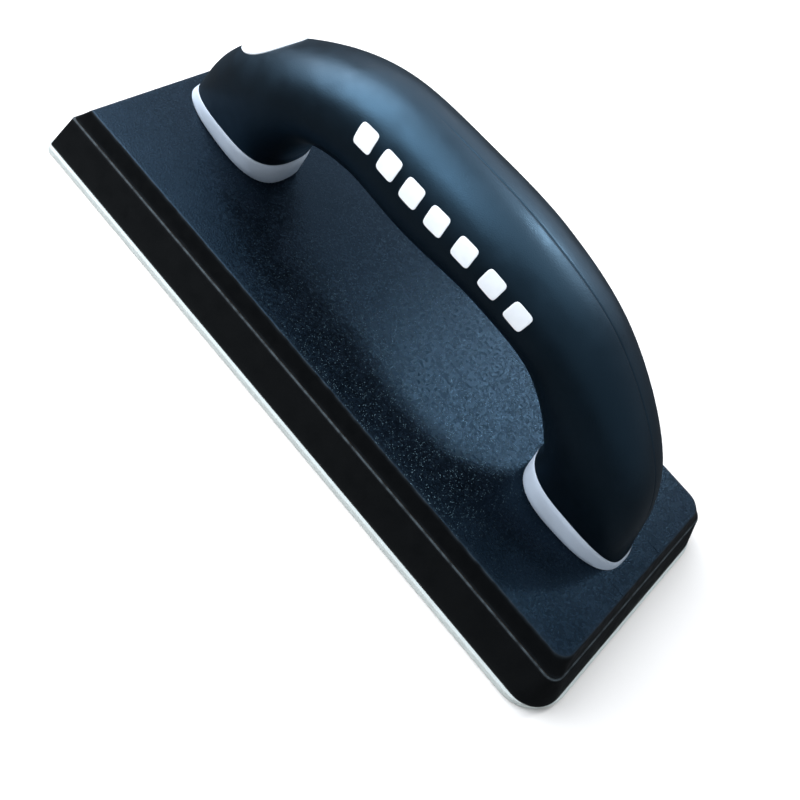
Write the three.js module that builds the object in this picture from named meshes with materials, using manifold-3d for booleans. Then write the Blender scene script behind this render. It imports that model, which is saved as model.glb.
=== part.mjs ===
// Grout float: a long flat pad under a bevelled backing plate, with a closed D handle on top.
// Millimetres, +Z up. X runs from the toe (square corners, -X) to the heel (round corners, +X).
// The origin is the middle of the working face, which lies on the surface below.
import * as THREE from 'three';
import { mergeVertices } from 'three/addons/utils/BufferGeometryUtils.js';
import Module from 'manifold-3d';

const wasm = await Module();
wasm.setup();

// ---------- driving dimensions ----------

// face sheet, the hard white layer that spreads the grout
const faceLength = 240;
const faceWidth = 100;
const faceThickness = 2.8;
const faceToeRadius = 2.5;
const faceHeelRadius = 14.6;

// rubber pad, whose walls flare out towards the face sheet
const padLip = 1.1; // how far the face sheet stands out past the pad's foot
const padThickness = 12;
const padWallFlare = 5.7;
const padToeFlare = 3.1; // the toe wall stands steeper
const padToeRadius = 1;
const padFootHeelRadius = 11.2;
const padTopHeelRadius = 4.5;

// layers of contact adhesive above and below the pad
const adhesiveThickness = 0.3;

// moulded backing plate
const plateLedge = 0.6; // step between the pad's top edge and the plate's foot
const plateThickness = 5.9;
const plateBevel = 3;
const plateToeBevel = 4.2;
const plateToeRadius = 0.8;
const plateFootHeelRadius = 4;
const plateTopHeelRadius = 5.5;

// D handle: feet, rise, and the sections along its arch
const toeFootMargin = 4.1; // from the plate's top edge to the foot's outer end
const heelFootMargin = 7;
const toeFootHalfLength = 22.8;
const heelFootHalfLength = 20.5;
const toeFootHalfWidth = 11.5;
const heelFootHalfWidth = 13;
const archRise = 52; // centre line's highest point above the plate
const levelRise = 3.6; // height over which the handle's sections stay level
const collarHandHeight = 9.9; // bare white collar at each foot, on the side of the hand opening
const toeCollarOuterHeight = 3.6; // and on its outer side
const heelCollarOuterHeight = 1;
const toeCollarFall = 2.2; // exponents of the rims' fall towards their outer sides
const heelCollarFall = 4;
const uprightBlend = 0.08; // share of the arch over which level sections turn square to it
const toeTaper = 0.18; // how much narrower the outer half of each foot is
const heelTaper = 0.045;
const taperReach = 0.35; // share of the arch over which the taper fades out
const footSquareness = 2.69; // exponents of the superellipse sections
const gripSquareness = 2.12;

// sections between the feet: how far across and how high, and the half sizes there
const gripSections = [
  { across: 0.054, rise: 0.43, halfDepth: 18, halfWidth: 14.8 },
  { across: 0.158, rise: 0.785, halfDepth: 13.8, halfWidth: 15.8 },
  { across: 0.289, rise: 0.951, halfDepth: 15.1, halfWidth: 15.9 },
  { across: 0.449, rise: 0.976, halfDepth: 16, halfWidth: 16.8 },
  { across: 0.626, rise: 1, halfDepth: 14.3, halfWidth: 16.6 },
  { across: 0.795, rise: 0.89, halfDepth: 13.9, halfWidth: 14.7 },
  { across: 0.942, rise: 0.498, halfDepth: 16.7, halfWidth: 13.9 },
];

// soft cover, hollow core and the parts inside
const coverThickness = 2.4;
const coverGap = 0.3; // between the cover and the core
const coreWall = 2.6;
const footFloor = 7; // solid height of the core over each foot
const webPlaces = [0.3, 0.5, 0.7]; // stiffening webs, as shares of the arch
const webThickness = 5;
const pegRadius = 1.5;
const pegReach = 4;
const pegGap = 0.3;

// oval inlay at the toe end of the grip
const inlayPlace = 0.171;
const inlayHalfLength = 12.3;
const inlayHalfWidth = 8.3;
const inlayGap = 0.3;
const inlayProud = 0.35;

// screws, driven up through the plate into a boss in each half of each foot
const screwSpread = 5.8; // from the middle plane
const screwShankRadius = 2;
const screwHeadRadius = 4.2;
const screwHeadHeight = 2.6;
const screwReach = 12; // into the core
const screwHoleGap = 0.4;
const headRecessGap = 0.6;
const bossWall = 2.2;
const pilotSpare = 1.5; // pilot hole past the screw's tip
const threadPitch = 1.8;
const threadDepth = 0.5;
const domeSteps = 4; // down the rounded head
const crossWidth = 1;
const crossLength = 4.4;
const crossDepth = 1.4;

// facets
const roundSteps = 24; // around a handle section or a small cylinder
const archSteps = 34; // along the arch
const hollowSteps = 9; // along each hollow in the core
const smallSteps = 16; // around a screw or a peg
const cornerSteps = 6; // along a rounded corner
const rimSteps = 10; // along a collar's rim

// ---------- levels ----------

const lowerAdhesiveZ = faceThickness;
const padBottomZ = lowerAdhesiveZ + adhesiveThickness;
const upperAdhesiveZ = padBottomZ + padThickness;
const plateBottomZ = upperAdhesiveZ + adhesiveThickness;
const plateTopZ = plateBottomZ + plateThickness;
const levelTopZ = plateTopZ + levelRise;

// Outline of each level: how far it lies inside the face sheet, and its corner radii.
const faceOutline = { inset: 0, toeInset: 0, toeRadius: faceToeRadius, heelRadius: faceHeelRadius };
const padFoot = { inset: padLip, toeInset: padLip, toeRadius: padToeRadius, heelRadius: padFootHeelRadius };
const padTop = {
  inset: padFoot.inset + padWallFlare,
  toeInset: padFoot.toeInset + padToeFlare,
  toeRadius: padToeRadius,
  heelRadius: padTopHeelRadius,
};
const plateFoot = {
  inset: padTop.inset + plateLedge,
  toeInset: padTop.toeInset + plateLedge,
  toeRadius: plateToeRadius,
  heelRadius: plateFootHeelRadius,
};
const plateTop = {
  inset: plateFoot.inset + plateBevel,
  toeInset: plateFoot.toeInset + plateToeBevel,
  toeRadius: plateToeRadius,
  heelRadius: plateTopHeelRadius,
};
const toeFootX = -(faceLength / 2 - plateTop.toeInset - toeFootMargin - toeFootHalfLength);
const heelFootX = faceLength / 2 - plateTop.inset - heelFootMargin - heelFootHalfLength;

// ---------- materials ----------

const plastic = (color, roughness) => new THREE.MeshStandardMaterial({ color, roughness, metalness: 0 });
const materials = {
  face: plastic(0xd3dad6, 0.55),
  rubber: plastic(0x17191c, 0.8),
  adhesive: plastic(0x2b2620, 0.7),
  plate: plastic(0x1c2733, 0.5),
  core: plastic(0xdfe6ee, 0.4),
  cover: plastic(0x1a2430, 0.55),
  inlay: plastic(0xf7f8f8, 0.35),
  steel: new THREE.MeshStandardMaterial({ color: 0xa9adb0, roughness: 0.35, metalness: 1 }),
};

// ---------- solids and meshes ----------

// Turns a closed three.js geometry into a manifold solid.
function solidOf(geometry) {
  const bare = geometry.clone();
  bare.deleteAttribute('normal');
  bare.deleteAttribute('uv');
  const welded = mergeVertices(bare, 1e-4);
  return new wasm.Manifold(
    new wasm.Mesh({
      numProp: 3,
      vertProperties: new Float32Array(welded.attributes.position.array),
      triVerts: new Uint32Array(welded.index.array),
    }),
  );
}

// Turns a manifold solid back into a three.js geometry.
function geometryOf(solid) {
  const mesh = solid.getMesh();
  const geometry = new THREE.BufferGeometry();
  geometry.setAttribute('position', new THREE.BufferAttribute(mesh.vertProperties, 3));
  geometry.setIndex(new THREE.BufferAttribute(mesh.triVerts, 1));
  geometry.computeVertexNormals();
  return geometry;
}

function enclosedVolume(points, faces) {
  let sum = 0;
  for (const [a, b, c] of faces) {
    sum += points[a].dot(points[b].clone().cross(points[c]));
  }
  return sum / 6;
}

// A closed geometry from points and triangles, turned so that its faces point out.
function closedGeometry(points, faces) {
  const inward = enclosedVolume(points, faces) < 0;
  const order = inward ? faces.map(([a, b, c]) => [a, c, b]) : faces;
  const geometry = new THREE.BufferGeometry();
  const numbers = points.flatMap((p) => [p.x, p.y, p.z]);
  geometry.setAttribute('position', new THREE.Float32BufferAttribute(numbers, 3));
  geometry.setIndex(order.flat());
  geometry.computeVertexNormals();
  return geometry;
}

function bandFaces(first, second, count) {
  const faces = [];
  for (let i = 0; i < count; i += 1) {
    const next = (i + 1) % count;
    faces.push([first + i, first + next, second + next]);
    faces.push([first + i, second + next, second + i]);
  }
  return faces;
}

// A solid skinned over rings of equal point count, closed by a fan at each end.
function loft(rings) {
  const count = rings[0].length;
  const points = rings.flat();
  const faces = [];
  for (let r = 0; r + 1 < rings.length; r += 1) {
    faces.push(...bandFaces(r * count, (r + 1) * count, count));
  }
  const centreOf = (ring) => ring.reduce((sum, p) => sum.add(p), new THREE.Vector3()).divideScalar(count);
  const startCentre = points.push(centreOf(rings[0])) - 1;
  const endCentre = points.push(centreOf(rings.at(-1))) - 1;
  const lastRing = (rings.length - 1) * count;
  for (let i = 0; i < count; i += 1) {
    const next = (i + 1) % count;
    faces.push([startCentre, next, i]);
    faces.push([endCentre, lastRing + i, lastRing + next]);
  }
  return closedGeometry(points, faces);
}

// ---------- flat layers ----------

// Outline of one layer: square or slightly eased toe corners, rounder heel corners.
function layerShape({ inset, toeInset, toeRadius, heelRadius }) {
  const toe = faceLength / 2 - toeInset;
  const heel = faceLength / 2 - inset;
  const y = faceWidth / 2 - inset;
  const quarter = Math.PI / 2;
  const shape = new THREE.Shape();
  shape.moveTo(-toe + toeRadius, -y);
  shape.lineTo(heel - heelRadius, -y);
  shape.absarc(heel - heelRadius, -y + heelRadius, heelRadius, -quarter, 0);
  shape.lineTo(heel, y - heelRadius);
  shape.absarc(heel - heelRadius, y - heelRadius, heelRadius, 0, quarter);
  shape.lineTo(-toe + toeRadius, y);
  shape.absarc(-toe + toeRadius, y - toeRadius, toeRadius, quarter, 2 * quarter);
  shape.lineTo(-toe, -y + toeRadius);
  shape.absarc(-toe + toeRadius, -y + toeRadius, toeRadius, 2 * quarter, 3 * quarter);
  return shape;
}

function layerRing(level, z) {
  const outline = layerShape(level).getPoints(cornerSteps);
  const repeatsStart = outline[0].distanceTo(outline.at(-1)) < 1e-6;
  const open = repeatsStart ? outline.slice(0, -1) : outline;
  return open.map((p) => new THREE.Vector3(p.x, p.y, z));
}

function flatLayer(level, bottom, thickness) {
  const options = { depth: thickness, bevelEnabled: false, curveSegments: cornerSteps };
  const geometry = new THREE.ExtrudeGeometry(layerShape(level), options);
  return geometryOf(solidOf(geometry.translate(0, 0, bottom)));
}

function faceSheet() {
  return flatLayer(faceOutline, 0, faceThickness);
}

function lowerAdhesive() {
  return flatLayer(padFoot, lowerAdhesiveZ, adhesiveThickness);
}

function upperAdhesive() {
  return flatLayer(plateFoot, upperAdhesiveZ, adhesiveThickness);
}

function rubberPad() {
  return loft([layerRing(padFoot, padBottomZ), layerRing(padTop, upperAdhesiveZ)]);
}

// ---------- screws and their holes ----------

const screwPlaces = [
  { name: 'screw_toe_left', x: toeFootX, y: screwSpread },
  { name: 'screw_toe_right', x: toeFootX, y: -screwSpread },
  { name: 'screw_heel_left', x: heelFootX, y: screwSpread },
  { name: 'screw_heel_right', x: heelFootX, y: -screwSpread },
];
const headRecessDepth = screwHeadHeight + headRecessGap;
const screwSeatZ = plateBottomZ + headRecessDepth;
const screwTipZ = plateTopZ + screwReach;
const pilotRadius = screwShankRadius + screwHoleGap;
const cutPast = 1; // how far a cutting solid runs past the face that it cuts
const collarBlockSpare = 6; // and a collar's block past its foot

function post(x, y, bottom, top, radius) {
  const geometry = new THREE.CylinderGeometry(radius, radius, top - bottom, roundSteps);
  geometry.rotateX(Math.PI / 2);
  return solidOf(geometry.translate(x, y, (bottom + top) / 2));
}

function backingPlate() {
  let solid = solidOf(loft([layerRing(plateFoot, plateBottomZ), layerRing(plateTop, plateTopZ)]));
  for (const { x, y } of screwPlaces) {
    const recessRadius = screwHeadRadius + headRecessGap;
    solid = solid.subtract(post(x, y, plateBottomZ - cutPast, plateTopZ + cutPast, pilotRadius));
    solid = solid.subtract(post(x, y, plateBottomZ - cutPast, screwSeatZ, recessRadius));
  }
  return geometryOf(solid);
}

// Pan-head screw, head down, with ridges for its thread and a cross recess.
function screw() {
  const length = screwTipZ - screwSeatZ;
  const pointLength = screwShankRadius * 2;
  const rootRadius = screwShankRadius - threadDepth;
  const outline = [];
  for (let i = 0; i <= domeSteps; i += 1) {
    const angle = (Math.PI / 2) * (i / domeSteps);
    outline.push([screwHeadRadius * Math.sin(angle), -screwHeadHeight * Math.cos(angle)]);
  }
  outline.push([rootRadius, 0]);
  for (let z = threadPitch; z + threadPitch < length - pointLength; z += threadPitch) {
    outline.push([rootRadius, z - threadDepth], [screwShankRadius, z], [rootRadius, z + threadDepth]);
  }
  outline.push([rootRadius, length - pointLength], [0, length]);
  const turned = outline.map(([radius, z]) => new THREE.Vector2(radius, z));
  const body = new THREE.LatheGeometry(turned, smallSteps);
  body.rotateX(Math.PI / 2);
  let solid = solidOf(body);
  for (const turn of [0, Math.PI / 2]) {
    const slot = new THREE.BoxGeometry(crossLength, crossWidth, crossDepth * 2);
    slot.rotateZ(turn);
    solid = solid.subtract(solidOf(slot.translate(0, 0, -screwHeadHeight)));
  }
  return geometryOf(solid);
}

// ---------- handle ----------

const spanX = heelFootX - toeFootX;
const centreLine = new THREE.CatmullRomCurve3(
  [
    new THREE.Vector3(toeFootX, 0, plateTopZ),
    ...gripSections.map(
      ({ across, rise }) => new THREE.Vector3(toeFootX + across * spanX, 0, plateTopZ + rise * archRise),
    ),
    new THREE.Vector3(heelFootX, 0, plateTopZ),
  ],
  false,
  'catmullrom',
);
const halfSizes = new THREE.CatmullRomCurve3(
  [
    new THREE.Vector3(toeFootHalfLength, toeFootHalfWidth, 0),
    ...gripSections.map(({ halfDepth, halfWidth }) => new THREE.Vector3(halfDepth, halfWidth, 0)),
    new THREE.Vector3(heelFootHalfLength, heelFootHalfWidth, 0),
  ],
  false,
  'catmullrom',
);

// The share of the arch, counted from the nearer foot, at which the centre line passes a height.
function shareAtHeight(z, fromHeel) {
  let low = 0;
  let high = 0.4;
  for (let i = 0; i < 40; i += 1) {
    const middle = (low + high) / 2;
    const height = centreLine.getPoint(fromHeel ? 1 - middle : middle).z;
    if (height < z) {
      low = middle;
    } else {
      high = middle;
    }
  }
  return fromHeel ? 1 - low : low;
}

const toeLevelShare = shareAtHeight(levelTopZ, false);
const heelLevelShare = shareAtHeight(levelTopZ, true);

// Frame of the section at a share of the arch: level over the feet, square to the arch between.
function sectionFrame(share) {
  const centre = centreLine.getPoint(share);
  const along = centreLine.getTangent(share);
  const heading = Math.atan2(along.z, along.x);
  const fromToe = share < 0.5;
  const upright = fromToe ? Math.PI / 2 : -Math.PI / 2;
  const past = fromToe ? share - toeLevelShare : heelLevelShare - share;
  const turn = THREE.MathUtils.smoothstep(past, 0, uprightBlend);
  const angle = upright + (heading - upright) * turn;
  return {
    centre,
    along: new THREE.Vector3(Math.cos(angle), 0, Math.sin(angle)),
    out: new THREE.Vector3(-Math.sin(angle), 0, Math.cos(angle)),
  };
}

// Points of one section, from the outer side round. A half runs from the outer to the inner side.
function sectionRing(share, inset, side) {
  const { centre, out } = sectionFrame(share);
  const size = halfSizes.getPoint(share);
  const edge = Math.abs(2 * share - 1);
  const power = 2 / (gripSquareness + (footSquareness - gripSquareness) * edge ** 3);
  const footShare = share < 0.5 ? share : 1 - share;
  const taper = (share < 0.5 ? toeTaper : heelTaper) * Math.max(0, 1 - footShare / taperReach);
  const steps = side ? roundSteps / 2 : roundSteps;
  const lastStep = side ? steps : steps - 1;
  const bend = (value) => Math.sign(value) * Math.abs(value) ** power;
  const points = [];
  for (let i = 0; i <= lastStep; i += 1) {
    const angle = (2 * Math.PI * i) / roundSteps;
    const depthShare = bend(Math.cos(angle));
    const onMiddle = side && (i === 0 || i === lastStep);
    const sideShare = onMiddle ? 0 : bend(Math.sin(angle)) * (1 - taper * depthShare);
    const point = centre.clone().addScaledVector(out, (size.x - inset) * depthShare);
    point.y = (size.y - inset) * sideShare * (side || 1);
    points.push(point);
  }
  return points;
}

function sharesBetween(start, end, steps) {
  return Array.from({ length: steps + 1 }, (_, i) => start + ((end - start) * i) / steps);
}

function gripRings(start, end, steps, inset, side) {
  return sharesBetween(start, end, steps).map((share) => sectionRing(share, inset, side));
}

function levelled(ring, z) {
  return ring.map((p) => new THREE.Vector3(p.x, p.y, z));
}

const coreInset = coverThickness + coverGap;
const cavityInset = coreInset + coreWall;

// Rings of the whole handle from foot to foot, drawn in by an inset.
function handleRings(inset, side) {
  const arch = gripRings(toeLevelShare, heelLevelShare, archSteps, inset, side);
  return [
    sectionRing(0, inset, side),
    levelled(arch[0], levelTopZ),
    ...arch.slice(1, -1),
    levelled(arch.at(-1), levelTopZ),
    sectionRing(1, inset, side),
  ];
}

// Block over one foot, up to the rim of its collar, which falls from the hand's side outwards.
function collarBlock(footX, halfLength, halfWidth, outerHeight, fall) {
  const outward = Math.sign(footX);
  const handX = footX - outward * halfLength;
  const outerX = footX + outward * halfLength;
  const rim = sharesBetween(0, 1, rimSteps).map((share) => [
    handX + (outerX - handX) * share,
    plateTopZ + collarHandHeight - (collarHandHeight - outerHeight) * share ** fall,
  ]);
  const profile = new THREE.Shape(
    [
      [handX - outward * collarBlockSpare, plateTopZ - cutPast],
      [handX - outward * collarBlockSpare, plateTopZ + collarHandHeight],
      ...rim,
      [outerX + outward * collarBlockSpare, plateTopZ + outerHeight],
      [outerX + outward * collarBlockSpare, plateTopZ - cutPast],
    ].map(([x, z]) => new THREE.Vector2(x, z)),
  );
  const depth = 2 * (halfWidth + collarBlockSpare);
  const geometry = new THREE.ExtrudeGeometry(profile, { depth, bevelEnabled: false });
  return solidOf(geometry.rotateX(Math.PI / 2).translate(0, depth / 2, 0));
}

const collarBlocks = [
  collarBlock(toeFootX, toeFootHalfLength, toeFootHalfWidth, toeCollarOuterHeight, toeCollarFall),
  collarBlock(heelFootX, heelFootHalfLength, heelFootHalfWidth, heelCollarOuterHeight, heelCollarFall),
];

// One half of the white core: a foot with a bare collar at each end and a hollow arch between.
function coreHalf(side) {
  const whole = solidOf(loft(handleRings(0, side)));
  let body = solidOf(loft(handleRings(coreInset, side)));
  for (const block of collarBlocks) {
    body = body.add(block.intersect(whole));
  }
  let solid = body;
  for (const hollow of coreHollows()) {
    solid = solid.subtract(hollow);
  }
  const bossRadius = pilotRadius + bossWall;
  const bossTopZ = screwTipZ + pilotSpare + bossWall;
  for (const { x, y } of screwPlaces) {
    if (y * side > 0) {
      const boss = post(x, y, plateTopZ, bossTopZ, bossRadius).intersect(body);
      solid = solid.add(boss).subtract(post(x, y, plateTopZ - cutPast, screwTipZ + pilotSpare, pilotRadius));
    }
  }
  for (const place of webPlaces) {
    solid = side > 0 ? solid.add(peg(place, pegRadius, pegReach)) : solid.subtract(pegHole(place));
  }
  return geometryOf(solid);
}

// The hollows of the core, one between each pair of neighbouring webs.
function coreHollows() {
  const halfWeb = webThickness / 2 / centreLine.getLength();
  const starts = [shareAtHeight(plateTopZ + footFloor, false), ...webPlaces.map((place) => place + halfWeb)];
  const ends = [...webPlaces.map((place) => place - halfWeb), shareAtHeight(plateTopZ + footFloor, true)];
  return starts.map((start, i) => solidOf(loft(gripRings(start, ends[i], hollowSteps, cavityInset, 0))));
}

// Locating peg of the left half, across the middle plane into the right half.
function peg(place, radius, reach) {
  const root = webThickness / 4;
  const geometry = new THREE.CylinderGeometry(radius, radius, reach + root, smallSteps);
  const centre = centreLine.getPoint(place);
  return solidOf(geometry.translate(centre.x, (root - reach) / 2, centre.z));
}

function pegHole(place) {
  return peg(place, pegRadius + pegGap, pegReach + pegGap);
}

// Oval column through the toe end of the grip, square to its outer side.
function inlayColumn(spare) {
  const { centre, along, out } = sectionFrame(inlayPlace);
  const oval = new THREE.Shape();
  oval.absellipse(0, 0, inlayHalfLength + spare, inlayHalfWidth + spare, 0, 2 * Math.PI);
  const depth = 2 * halfSizes.getPoint(inlayPlace).x;
  const options = { depth, bevelEnabled: false, curveSegments: roundSteps / 2 };
  const geometry = new THREE.ExtrudeGeometry(oval, options);
  const across = new THREE.Vector3().crossVectors(out, along);
  geometry.applyMatrix4(new THREE.Matrix4().makeBasis(along, across, out).setPosition(centre));
  return solidOf(geometry);
}

function gripCover() {
  let solid = solidOf(loft(handleRings(0, 0))).subtract(solidOf(loft(handleRings(coverThickness, 0))));
  for (const block of collarBlocks) {
    solid = solid.subtract(block);
  }
  return geometryOf(solid.subtract(inlayColumn(inlayGap)));
}

function thumbInlay() {
  const reach = (2 * inlayHalfLength) / centreLine.getLength();
  const start = inlayPlace - reach;
  const end = inlayPlace + reach;
  const skin = solidOf(loft(gripRings(start, end, archSteps, -inlayProud, 0)));
  const inside = solidOf(loft(gripRings(toeLevelShare, 0.5, archSteps, coverThickness, 0)));
  return geometryOf(skin.subtract(inside).intersect(inlayColumn(0)));
}

// ---------- assembly ----------

const group = new THREE.Group();

function addPiece(name, geometry, material, parent = group) {
  const mesh = new THREE.Mesh(geometry, material.clone());
  mesh.name = name;
  parent.add(mesh);
  return mesh;
}

addPiece('face_sheet', faceSheet(), materials.face);
addPiece('lower_adhesive', lowerAdhesive(), materials.adhesive);
addPiece('rubber_pad', rubberPad(), materials.rubber);
addPiece('upper_adhesive', upperAdhesive(), materials.adhesive);
addPiece('backing_plate', backingPlate(), materials.plate);

const handle = new THREE.Group();
addPiece('handle_core_left', coreHalf(1), materials.core, handle);
addPiece('handle_core_right', coreHalf(-1), materials.core, handle);
addPiece('grip_cover', gripCover(), materials.cover, handle);
addPiece('thumb_inlay', thumbInlay(), materials.inlay, handle);
group.add(handle);

for (const { name, x, y } of screwPlaces) {
  const mesh = addPiece(name, screw(), materials.steel);
  mesh.position.set(x, y, screwSeatZ);
}

export default group;
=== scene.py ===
import bmesh
import bpy
import math
import numpy as np
from mathutils import Matrix, Vector
from mathutils.bvhtree import BVHTree


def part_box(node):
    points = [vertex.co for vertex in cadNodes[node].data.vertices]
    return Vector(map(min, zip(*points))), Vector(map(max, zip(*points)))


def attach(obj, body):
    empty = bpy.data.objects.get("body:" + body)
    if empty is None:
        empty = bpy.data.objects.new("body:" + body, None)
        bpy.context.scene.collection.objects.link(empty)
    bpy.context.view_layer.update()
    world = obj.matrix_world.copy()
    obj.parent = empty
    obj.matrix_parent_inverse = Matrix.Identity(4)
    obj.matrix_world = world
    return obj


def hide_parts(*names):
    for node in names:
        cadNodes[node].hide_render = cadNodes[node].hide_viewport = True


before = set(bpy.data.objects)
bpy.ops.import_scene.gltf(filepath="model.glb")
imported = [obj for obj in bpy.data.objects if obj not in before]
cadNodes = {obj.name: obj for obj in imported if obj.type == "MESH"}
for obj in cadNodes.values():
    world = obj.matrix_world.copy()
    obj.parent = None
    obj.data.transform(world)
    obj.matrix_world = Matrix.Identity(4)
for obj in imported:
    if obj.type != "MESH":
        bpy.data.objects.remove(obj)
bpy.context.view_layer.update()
mm = 0.001

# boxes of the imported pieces
faceLow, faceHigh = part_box("face_sheet")
padLow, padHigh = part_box("rubber_pad")
plateLow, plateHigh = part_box("backing_plate")
coreLow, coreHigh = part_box("handle_core_left")
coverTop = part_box("grip_cover")[1].z
print("frame loaded:", len(cadNodes), "nodes")


def newFinish(name, look, paintedReflectionTint=(1, 1, 1)):
    material = bpy.data.materials.new(name)
    material.use_nodes = True
    shader = material.node_tree.nodes["Principled BSDF"]
    shader.inputs["Base Color"].default_value = (*look["color"], 1)
    shader.inputs["Roughness"].default_value = look["roughness"]
    shader.inputs["Specular IOR Level"].default_value = look["specular"]
    shader.inputs["Specular Tint"].default_value = (*paintedReflectionTint, 1)
    return material, shader


def addNode(material, kind, **values):
    node = material.node_tree.nodes.new(kind)
    for key, value in values.items():
        if key in node.inputs:
            node.inputs[key].default_value = value
        else:
            setattr(node, key, value)
    return node


def link(material, source, target):
    material.node_tree.links.new(source, target)


def objectPlace(material):
    return addNode(material, "ShaderNodeTexCoord").outputs["Object"]


# noise whose size is given in millimetres
def grain(material, size, detail=2.0, roughness=0.5):
    node = addNode(material, "ShaderNodeTexNoise", Scale=1 / (size * mm), Detail=detail, Roughness=roughness)
    link(material, objectPlace(material), node.inputs["Vector"])
    return node.outputs["Fac"]


# round cells whose size is given in millimetres
def cells(material, size):
    node = addNode(material, "ShaderNodeTexVoronoi", Scale=1 / (size * mm), Randomness=1.0)
    link(material, objectPlace(material), node.inputs["Vector"])
    return node.outputs["Distance"]


def spread(material, value, fromLow, fromHigh, toLow, toHigh):
    node = addNode(material, "ShaderNodeMapRange")
    node.inputs["From Min"].default_value = fromLow
    node.inputs["From Max"].default_value = fromHigh
    node.inputs["To Min"].default_value = toLow
    node.inputs["To Max"].default_value = toHigh
    link(material, value, node.inputs["Value"])
    return node.outputs["Result"]


def blendColors(material, factor, first, second):
    node = addNode(material, "ShaderNodeMix", data_type="RGBA")
    link(material, factor, node.inputs["Factor"])
    colorSockets = [s for s in node.inputs if s.type == "RGBA"]
    for socket, color in zip(colorSockets, (first, second)):
        if isinstance(color, tuple):
            socket.default_value = (*color, 1)
        else:
            link(material, color, socket)
    return next(s for s in node.outputs if s.type == "RGBA")


def paint(material, shader, factor, first, second):
    link(material, blendColors(material, factor, first, second), shader.inputs["Base Color"])


def multiply(material, first, second):
    node = addNode(material, "ShaderNodeMath", operation="MULTIPLY")
    link(material, first, node.inputs[0])
    link(material, second, node.inputs[1])
    return node.outputs["Value"]


# metres along the part, growing towards the heel
def alongPart(material):
    node = addNode(material, "ShaderNodeSeparateXYZ")
    link(material, objectPlace(material), node.inputs[0])
    return node.outputs["X"]


# mask of edge wear on most pieces; on the pad's top ledge it carries a painted highlight
def wearAndSheenMask(material):
    return addNode(material, "ShaderNodeAttribute", attribute_name="wearAndSheen").outputs["Fac"]


noiseLow, noiseHigh = 0.3, 0.7  # most of the noise lies between these


# roughness that drifts between two values
def varyRoughness(material, shader, noise, low, high):
    link(material, spread(material, noise, noiseLow, noiseHigh, low, high), shader.inputs["Roughness"])


# depth in millimetres
def addBump(material, shader, height, depth, strength, under=None):
    node = addNode(material, "ShaderNodeBump", Strength=strength, Distance=depth * mm)
    link(material, height, node.inputs["Height"])
    if under is not None:
        link(material, under, node.inputs["Normal"])
    link(material, node.outputs["Normal"], shader.inputs["Normal"])
    return node.outputs["Normal"]


plateLook = {
    "color": (0.0016, 0.0026, 0.0042),
    "paleColor": (0.0030, 0.0048, 0.0078),
    "scuffColor": (0.02, 0.028, 0.037),
    "scuffStrength": 0.55,
    # painted glints: pale dots that stand in for the key light's sparkle on the pebbled grain
    "paintedGlintColor": (0.17, 0.27, 0.31),
    "roughness": 0.26,
    "smoothest": 0.14,
    "roughest": 0.36,
    "specular": 0.24,
    # painted reflection colour: the blue cast of the studio light's reflections is set here in the finish
    "paintedReflectionTint": (0.24, 0.60, 1.0),
    "cloudSize": 9,  # these sizes and depths are in mm
    "pebbleSize": 0.42,
    "pebbleDepth": 0.05,
    "fineSize": 0.2,
    "fineDepth": 0.014,
    "paintedGlintSize": 0.5,
    "paintedGlintPatchSize": 0.9,
    "paintedGlintStart": -0.05,  # metres along the part, where the painted glints (pale dots standing in for the key light's sparkle on the grain) begin to get denser
    "paintedGlintFull": 0.045,
    "paintedGlintFall": 0.052,  # and where they thin out again beside the heel foot, which paints the shadow of the heel upright
    "paintedGlintFaint": 0.07,
    "toePaintedGlints": 0.12,  # share of the painted glints left at the toe
    "heelPaintedGlints": 0.1,  # and at the heel
}


def plateFinish():
    look = plateLook
    material, shader = newFinish("pebbled_plastic", look, look["paintedReflectionTint"])
    pebbles = cells(material, look["pebbleSize"])
    clouds = spread(material, grain(material, look["cloudSize"], 3), 0.35, 0.7, 0, 1)
    tone = blendColors(material, clouds, look["color"], look["paleColor"])
    wearAndSheen = spread(material, wearAndSheenMask(material), 0, 1, 0, look["scuffStrength"])
    color = blendColors(material, wearAndSheen, tone, look["scuffColor"])
    # painted glints: pale dots in the colour, made denser by position where the key light falls and thinner
    # in the heel upright's shadow
    dots = spread(material, cells(material, look["paintedGlintSize"]), 0.12, 0.3, 1, 0)
    some = spread(material, grain(material, look["paintedGlintPatchSize"], 2), 0.5, 0.6, 0, 1)
    along = alongPart(material)
    denser = spread(material, along, look["paintedGlintStart"], look["paintedGlintFull"], look["toePaintedGlints"], 1)
    fewer = spread(material, along, look["paintedGlintFall"], look["paintedGlintFaint"], 1, look["heelPaintedGlints"])
    paintedGlints = multiply(material, multiply(material, dots, some), multiply(material, denser, fewer))
    paint(material, shader, paintedGlints, color, look["paintedGlintColor"])
    varyRoughness(material, shader, grain(material, 1.1, 2), look["smoothest"], look["roughest"])
    coarse = addBump(material, shader, pebbles, look["pebbleDepth"], 0.9)
    addBump(material, shader, grain(material, look["fineSize"], 2), look["fineDepth"], 0.7, coarse)
    return material


bevelLook = {
    "color": (0.0016, 0.0020, 0.0024),
    "wornColor": (0.026, 0.036, 0.044),
    "roughness": 0.42,
    "smoothest": 0.34,
    "roughest": 0.52,
    "specular": 0.14,
    "wearPatchSize": 5,
}


def bevelFinish():
    look = bevelLook
    material, shader = newFinish("smooth_bevel", look)
    patches = spread(material, grain(material, look["wearPatchSize"], 3), 0.35, 0.62, 0.1, 1)
    wornAndSheen = multiply(material, wearAndSheenMask(material), patches)
    paint(material, shader, wornAndSheen, look["color"], look["wornColor"])
    varyRoughness(material, shader, grain(material, 3, 4), look["smoothest"], look["roughest"])
    addBump(material, shader, grain(material, 0.4, 3), 0.012, 0.5)
    return material


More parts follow.
